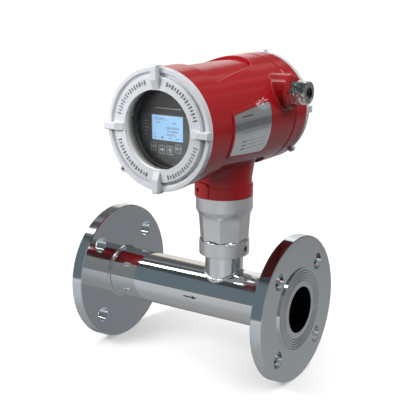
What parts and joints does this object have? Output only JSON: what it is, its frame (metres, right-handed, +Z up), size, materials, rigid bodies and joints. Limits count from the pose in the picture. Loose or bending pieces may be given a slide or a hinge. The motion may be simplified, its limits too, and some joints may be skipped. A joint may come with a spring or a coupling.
{
  "type": "gas mass flow meter",
  "caption": "Flanged thermal gas mass flow meter: polished measuring tube, insertion probe on a welded stem and a turnable two-compartment head with display, keys and cable gland.",
  "frame": {"origin": "centre of the inlet flange's raised sealing face, on the tube's axis", "axes": "+X along the tube, the way the gas flows; +Z up along the sensor stem; the display faces -Y"},
  "size_m": [0.262, 0.2178, 0.3558],
  "materials": {
    "polished_steel": "mirror-polished stainless steel",
    "weld_bead": "dressed and polished weld bead",
    "probe_steel": "fine turned stainless steel",
    "screw_steel": "plain steel",
    "plate_steel": "bright rolled steel plate",
    "satin_aluminium": "bead-blasted satin",
    "bright_nickel": "bright nickel plate",
    "brass": "machined",
    "red_paint": "gloss red enamel on a casting",
    "grey_paint": "semi-gloss light grey enamel",
    "window_glass": "clear toughened glass",
    "black_rubber": "moulded",
    "black_plastic": "fine matt",
    "dark_faceplate": "satin dark grey foil",
    "key_plastic": "satin",
    "lcd_panel": "backlit blue display",
    "circuit_board": "green solder mask",
    "transformer_case": "potted",
    "capacitor_sleeve": "shrink sleeve",
    "terminal_plastic": "moulded"
  },
  "bodies": {
    "spool": {"flow_tube": "polished_steel", "inlet_flange": "polished_steel", "outlet_flange": "polished_steel", "flange_welds": "weld_bead", "sensor_stem": "polished_steel", "stem_weld": "weld_bead", "head_adaptor": "satin_aluminium", "adaptor_set_screw": "screw_steel", "probe_body": "probe_steel", "heated_sensor": "probe_steel", "reference_sensor": "probe_steel", "probe_seal": "black_rubber", "probe_nut": "screw_steel", "neck_seal": "black_rubber"},
    "head": {"housing": "red_paint", "nameplate": "plate_steel", "swivel_lock_screw": "screw_steel", "display_bezel": "black_plastic", "display_faceplate": "dark_faceplate", "lcd_module": "lcd_panel", "display_board": "circuit_board", "key_switches": "black_plastic", "display_screws": "screw_steel", "bezel_screws": "screw_steel", "electronics_frame": "black_plastic", "frame_pillars": "brass", "frame_screws": "screw_steel", "board_spacers": "brass", "power_board": "circuit_board", "main_board": "circuit_board", "power_transformer": "transformer_case", "filter_capacitors": "capacitor_sleeve", "feedthrough": "transformer_case", "terminal_block": "terminal_plastic", "terminal_screws": "screw_steel", "block_screws": "screw_steel", "ground_screw": "brass", "gland_body": "bright_nickel", "gland_seal": "black_rubber", "blanking_plug": "bright_nickel"},
    "front_seal": {"front_oring": "black_rubber", "cover_glass": "window_glass", "glass_gasket": "black_rubber"},
    "front_cover": {"front_cover": "grey_paint", "glass_retaining_ring": "satin_aluminium", "front_lock_screw": "screw_steel"},
    "rear_seal": {"rear_oring": "black_rubber"},
    "rear_cover": {"rear_cover": "grey_paint", "rear_lock_screw": "screw_steel"},
    "gland_washer": {"gland_washer": "brass"},
    "gland_nut": {"gland_nut": "bright_nickel"},
    "key_escape": {"key_escape": "key_plastic"},
    "key_next": {"key_next": "key_plastic"},
    "key_up": {"key_up": "key_plastic"},
    "key_enter": {"key_enter": "key_plastic"}
  },
  "joints": [
    {"name": "housing_swivel", "type": "hinge", "parent": "spool", "child": "head", "pos_m": [0.1626, 0, 0.128], "axis": [0, 0, 1], "range_deg": [-165, 165]},
    {"name": "front_cover_travel", "type": "slide", "parent": "head", "child": "front_seal", "axis": [0, -1, 0], "range_m": [0, 0.014]},
    {"name": "front_cover_turn", "type": "hinge", "parent": "front_seal", "child": "front_cover", "pos_m": [0.1626, -0.119, 0.2091], "axis": [0, -1, 0], "range_deg": [0, 2520]},
    {"name": "rear_cover_travel", "type": "slide", "parent": "head", "child": "rear_seal", "axis": [0, 1, 0], "range_m": [0, 0.01]},
    {"name": "rear_cover_turn", "type": "hinge", "parent": "rear_seal", "child": "rear_cover", "pos_m": [0.1626, 0.0755, 0.2091], "axis": [0, 1, 0], "range_deg": [0, 1800]},
    {"name": "gland_nut_travel", "type": "slide", "parent": "head", "child": "gland_washer", "axis": [1, 0, 0], "range_m": [0, 0.006]},
    {"name": "gland_nut_turn", "type": "hinge", "parent": "gland_washer", "child": "gland_nut", "pos_m": [0.246, 0.028, 0.2352], "axis": [1, 0, 0], "range_deg": [0, 1440]},
    {"name": "key_escape_press", "type": "slide", "parent": "head", "child": "key_escape", "axis": [0, 1, 0], "range_m": [0, 0.0006], "stiffness_N_per_m": 1500},
    {"name": "key_next_press", "type": "slide", "parent": "head", "child": "key_next", "axis": [0, 1, 0], "range_m": [0, 0.0006], "stiffness_N_per_m": 1500},
    {"name": "key_up_press", "type": "slide", "parent": "head", "child": "key_up", "axis": [0, 1, 0], "range_m": [0, 0.0006], "stiffness_N_per_m": 1500},
    {"name": "key_enter_press", "type": "slide", "parent": "head", "child": "key_enter", "axis": [0, 1, 0], "range_m": [0, 0.0006], "stiffness_N_per_m": 1500}
  ],
  "couplings": [
    {"joint": "front_cover_travel", "follows": "front_cover_turn", "m_per_rad": 0.00031831},
    {"joint": "rear_cover_travel", "follows": "rear_cover_turn", "m_per_rad": 0.00031831},
    {"joint": "gland_nut_turn", "follows": "gland_nut_travel", "rad_per_m": 4188.8}
  ]
}
